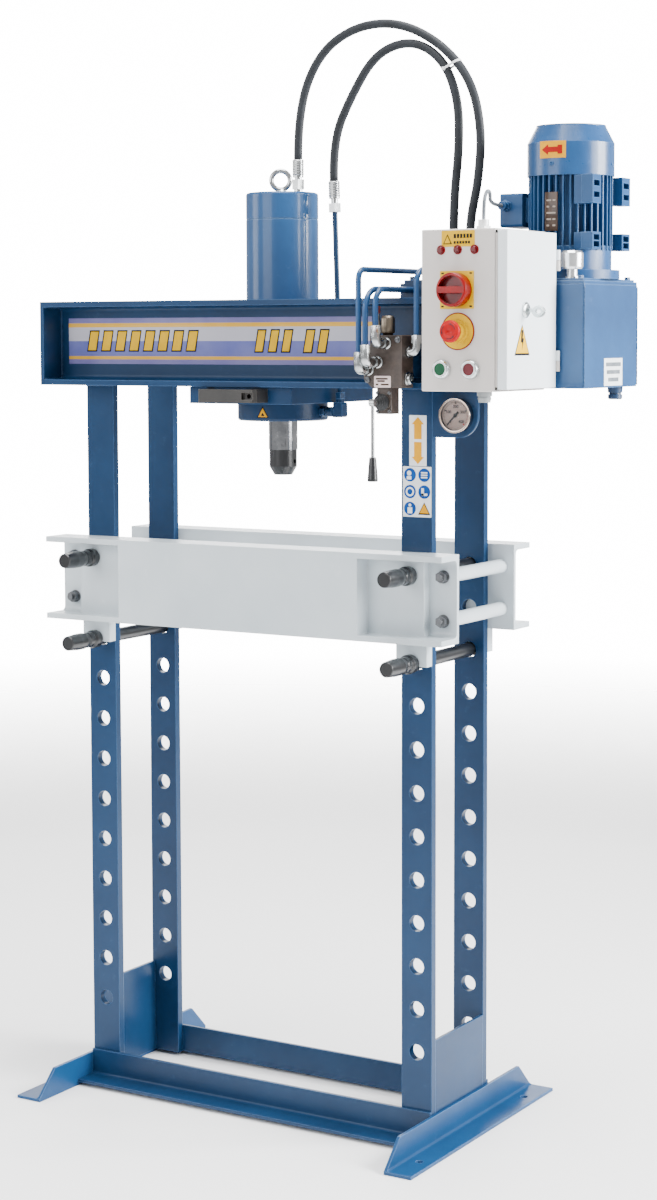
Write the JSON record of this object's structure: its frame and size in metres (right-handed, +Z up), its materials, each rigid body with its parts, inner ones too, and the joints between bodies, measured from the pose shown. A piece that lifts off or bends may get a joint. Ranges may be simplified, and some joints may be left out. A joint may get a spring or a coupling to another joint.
{
  "type": "hydraulic shop press",
  "caption": "Free-standing hydraulic shop press: four-column frame, movable ram carriage, pinned table, hand lever valve, control box and motor pump unit.",
  "frame": {"origin": "floor level at the middle of the four anchor holes, under the ram axis", "axes": "+X to the press's right seen from the front (towards the tank), +Y to the back, +Z up"},
  "size_m": [1.1095, 0.578, 2.0551],
  "materials": {
    "frame_blue": "satin enamel",
    "table_white": "satin enamel",
    "motor_blue": "satin enamel",
    "box_grey": "powder coat",
    "grip_black": "gloss",
    "dark_steel": "oiled",
    "zinc": "zinc plated",
    "chrome": "polished",
    "machined": "machined",
    "casting": "phosphated",
    "rubber": "matte",
    "yellow": "gloss",
    "red": "gloss",
    "green": "gloss",
    "lamp": "gloss",
    "fitting_plastic": "matte",
    "needle_black": "matte"
  },
  "bodies": {
    "frame": {"base_ties": "frame_blue", "beam_back": "frame_blue", "beam_front": "frame_blue", "bell_housing": "frame_blue", "box_fittings": "fitting_plastic", "control_box": "box_grey", "fan_cover": "motor_blue", "feet": "frame_blue", "fixed_fittings": "zinc", "frame_brackets": "frame_blue", "gauge_case": "chrome", "hidden_lines": "frame_blue", "hose_cap": "rubber", "hose_riser": "rubber", "legs": "frame_blue", "lever_housing": "casting", "motor_cable": "rubber", "motor_housing": "motor_blue", "panel_escutcheons": "yellow", "panel_lamps": "lamp", "pump_body": "casting", "table_back": "table_white", "table_front": "table_white", "tank": "frame_blue", "tank_caps": "zinc", "tank_lid": "frame_blue", "terminal_box": "motor_blue", "tie_bolts": "dark_steel", "tie_tubes": "table_white", "valve_body": "casting", "valve_pipes": "frame_blue"},
    "carriage": {"carriage_plate": "frame_blue", "carriage_handle": "grip_black", "cylinder_barrel": "frame_blue", "cylinder_cap": "frame_blue", "gland_ring": "frame_blue", "eye_bolt": "zinc", "riser_pipe": "frame_blue", "cylinder_fittings": "zinc"},
    "ram": {"piston": "machined", "piston_rod": "chrome", "ram_tip": "grip_black"},
    "upper_left_pin": {"pin_upper_left": "grip_black"},
    "upper_right_pin": {"pin_upper_right": "grip_black"},
    "lower_left_pin": {"pin_lower_left": "grip_black"},
    "lower_right_pin": {"pin_lower_right": "grip_black"},
    "hand_lever": {"lever": "zinc", "lever_boot": "rubber", "lever_grip": "grip_black"},
    "spool": {"valve_spool": "machined"},
    "main_switch": {"switch_knob": "red"},
    "emergency_stop": {"estop_button": "red"},
    "start_key": {"start_button": "green"},
    "stop_key": {"stop_button": "red"},
    "door": {"control_door": "box_grey"},
    "lock": {"door_lock": "zinc"},
    "needle": {"gauge_needle": "needle_black"},
    "rotor": {"motor_rotor": "machined", "motor_fan": "fitting_plastic"},
    "driven_gear": {"pump_driven_gear": "machined"}
  },
  "joints": [
    {"name": "carriage_travel", "type": "slide", "parent": "frame", "child": "carriage", "axis": [1, 0, 0], "range_m": [-0.15, 0.15], "deforming": ["hose_cap", "hose_riser"]},
    {"name": "ram_stroke", "type": "slide", "parent": "carriage", "child": "ram", "axis": [0, 0, 1], "range_m": [-0.16, 0.04]},
    {"name": "upper_left_pin_pull", "type": "slide", "parent": "frame", "child": "upper_left_pin", "axis": [0, -1, 0], "range_m": [0, 0.29]},
    {"name": "upper_right_pin_pull", "type": "slide", "parent": "frame", "child": "upper_right_pin", "axis": [0, -1, 0], "range_m": [0, 0.29]},
    {"name": "lower_left_pin_pull", "type": "slide", "parent": "frame", "child": "lower_left_pin", "axis": [0, -1, 0], "range_m": [0, 0.29]},
    {"name": "lower_right_pin_pull", "type": "slide", "parent": "frame", "child": "lower_right_pin", "axis": [0, -1, 0], "range_m": [0, 0.29]},
    {"name": "lever_tilt", "type": "hinge", "parent": "frame", "child": "hand_lever", "pos_m": [0.345, -0.209, 1.361], "axis": [1, 0, 0], "range_deg": [-12, 12], "stiffness_Nm_per_rad": 1.2},
    {"name": "spool_travel", "type": "slide", "parent": "frame", "child": "spool", "axis": [0, 0, 1], "range_m": [-0.006, 0.006]},
    {"name": "main_switch_turn", "type": "hinge", "parent": "frame", "child": "main_switch", "pos_m": [0.514, -0.262, 1.554], "axis": [0, 1, 0], "range_deg": [0, 90]},
    {"name": "emergency_stop_press", "type": "slide", "parent": "frame", "child": "emergency_stop", "axis": [0, 1, 0], "range_m": [0, 0.0045]},
    {"name": "start_press", "type": "slide", "parent": "frame", "child": "start_key", "axis": [0, 1, 0], "range_m": [0, 0.003], "stiffness_N_per_m": 400},
    {"name": "stop_press", "type": "slide", "parent": "frame", "child": "stop_key", "axis": [0, 1, 0], "range_m": [0, 0.003], "stiffness_N_per_m": 400},
    {"name": "door_swing", "type": "hinge", "parent": "frame", "child": "door", "pos_m": [0.609, -0.066, 1.52], "axis": [0, 0, 1], "range_deg": [0, 90]},
    {"name": "door_lock_turn", "type": "hinge", "parent": "door", "child": "lock", "pos_m": [0.608, -0.19, 1.52], "axis": [1, 0, 0], "range_deg": [0, 90]},
    {"name": "needle_sweep", "type": "hinge", "parent": "frame", "child": "needle", "pos_m": [0.436, -0.12, 1.336], "axis": [0, 1, 0], "range_deg": [0, 270]},
    {"name": "motor_spin", "type": "hinge", "parent": "frame", "child": "rotor", "pos_m": [0.576, 0.053, 1.666], "axis": [0, 0, 1], "continuous": true},
    {"name": "pump_spin", "type": "hinge", "parent": "frame", "child": "driven_gear", "pos_m": [0.576, 0.083, 1.521], "axis": [0, 0, 1], "continuous": true}
  ],
  "couplings": [
    {"joint": "spool_travel", "follows": "lever_tilt", "m_per_rad": 0.025},
    {"joint": "pump_spin", "follows": "motor_spin", "ratio": -1}
  ]
}
